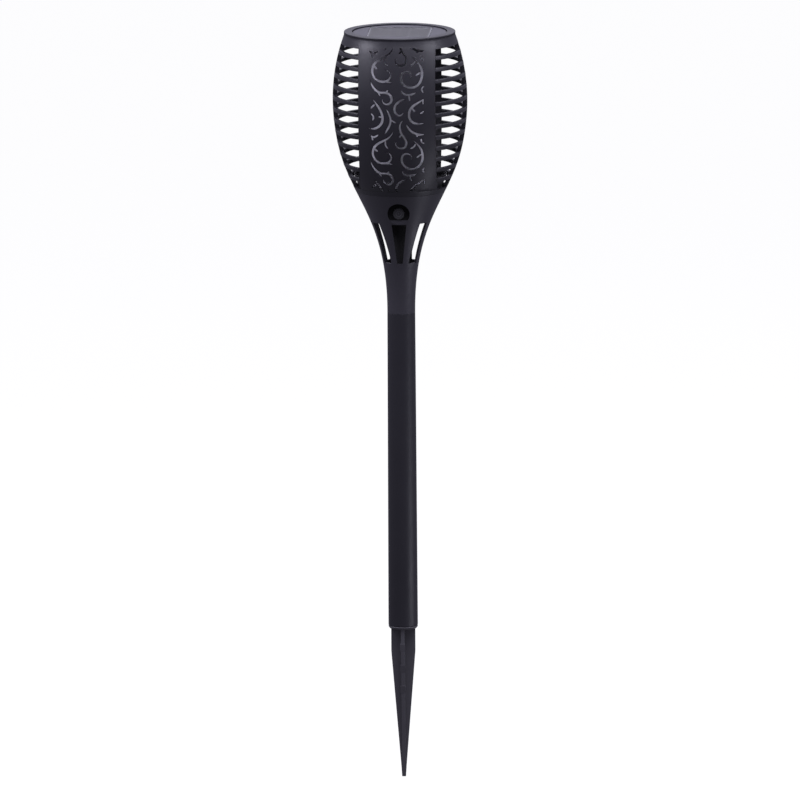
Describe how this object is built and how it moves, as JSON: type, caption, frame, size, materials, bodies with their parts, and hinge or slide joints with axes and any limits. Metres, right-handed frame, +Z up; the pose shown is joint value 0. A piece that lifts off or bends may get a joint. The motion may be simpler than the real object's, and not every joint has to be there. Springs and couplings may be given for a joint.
{
  "type": "solar garden torch",
  "caption": "Solar garden torch: barrel-shaped scroll-cut lantern head with a square solar panel on top, tapered pole and barbed ground spike.",
  "frame": {"origin": "on the axis, at the underside of the spike's collar, which is the ground line; the spike is below it", "axes": "+Z up along the pole; -Y towards the push button and the front scroll panel; +X to the right seen from the front"},
  "size_m": [0.1158, 0.1158, 0.6505],
  "materials": {
    "black_moulding": "black polypropylene, moulded, satin with a fine grain",
    "cap_plastic": "black ABS, moulded, satin",
    "inner_plastic": "black ABS, moulded, plain",
    "switch_plastic": "dark switch housing",
    "button_rubber": "black rubber-feel cap, satin",
    "seal_rubber": "black silicone ring",
    "foam": "closed-cell foam tape",
    "clear_cover": "clear cover over the cells, smooth",
    "silicon_cells": "dark blue-grey silicon strips",
    "circuit_board": "green solder resist",
    "board_components": "dark component bodies",
    "led_lens": "warm white LED lenses",
    "frosted_sheet": "frosted white translucent sheet",
    "cell_wrap": "plain shrink wrap",
    "spring_steel": "nickel-plated spring steel",
    "screw_steel": "zinc-plated steel",
    "lead_insulation": "black PVC insulation"
  },
  "bodies": {
    "spike": {"ground_spike": "black_moulding"},
    "pole": {"pole_tube": "black_moulding"},
    "button": {"button_cap": "button_rubber", "switch_shaft": "switch_plastic"},
    "head": {"base_screws": "screw_steel", "battery_cap": "inner_plastic", "battery_cell": "cell_wrap", "battery_leads": "lead_insulation", "battery_spring": "spring_steel", "battery_tube": "inner_plastic", "board_screws": "screw_steel", "cage_foot_ring": "black_moulding", "cage_front": "black_moulding", "cage_rear": "black_moulding", "cap_screws": "screw_steel", "cap_seal": "seal_rubber", "control_board": "circuit_board", "control_parts": "board_components", "core_cap": "inner_plastic", "diffuser_tube": "frosted_sheet", "flange_screws": "screw_steel", "funnel_legs": "black_moulding", "funnel_shell": "black_moulding", "lamp_base": "inner_plastic", "led_chips": "led_lens", "led_core": "inner_plastic", "led_flex_board": "circuit_board", "neck_socket": "black_moulding", "negative_strip": "spring_steel", "panel_backing_board": "circuit_board", "panel_clear_cover": "clear_cover", "panel_foam_pad": "foam", "panel_lead": "lead_insulation", "positive_contact": "spring_steel", "rim_ring": "black_moulding", "side_rib_left": "black_moulding", "side_rib_right": "black_moulding", "slats_left_front": "black_moulding", "slats_left_rear": "black_moulding", "slats_right_front": "black_moulding", "slats_right_rear": "black_moulding", "solar_cap": "cap_plastic", "solar_cells": "silicon_cells", "switch_body": "switch_plastic", "switch_holder": "inner_plastic"}
  },
  "joints": [
    {"name": "pole_lift", "type": "slide", "parent": "spike", "child": "pole", "axis": [0, 0, 1], "range_m": [0, 0.035]},
    {"name": "head_turn", "type": "hinge", "parent": "pole", "child": "head", "pos_m": [0, 0, 0.2758], "axis": [0, 0, 1], "continuous": true},
    {"name": "button_press", "type": "slide", "parent": "head", "child": "button", "axis": [0, 1, 0], "range_m": [0, 0.0015], "stiffness_N_per_m": 600, "springref_m": -0.0015}
  ]
}
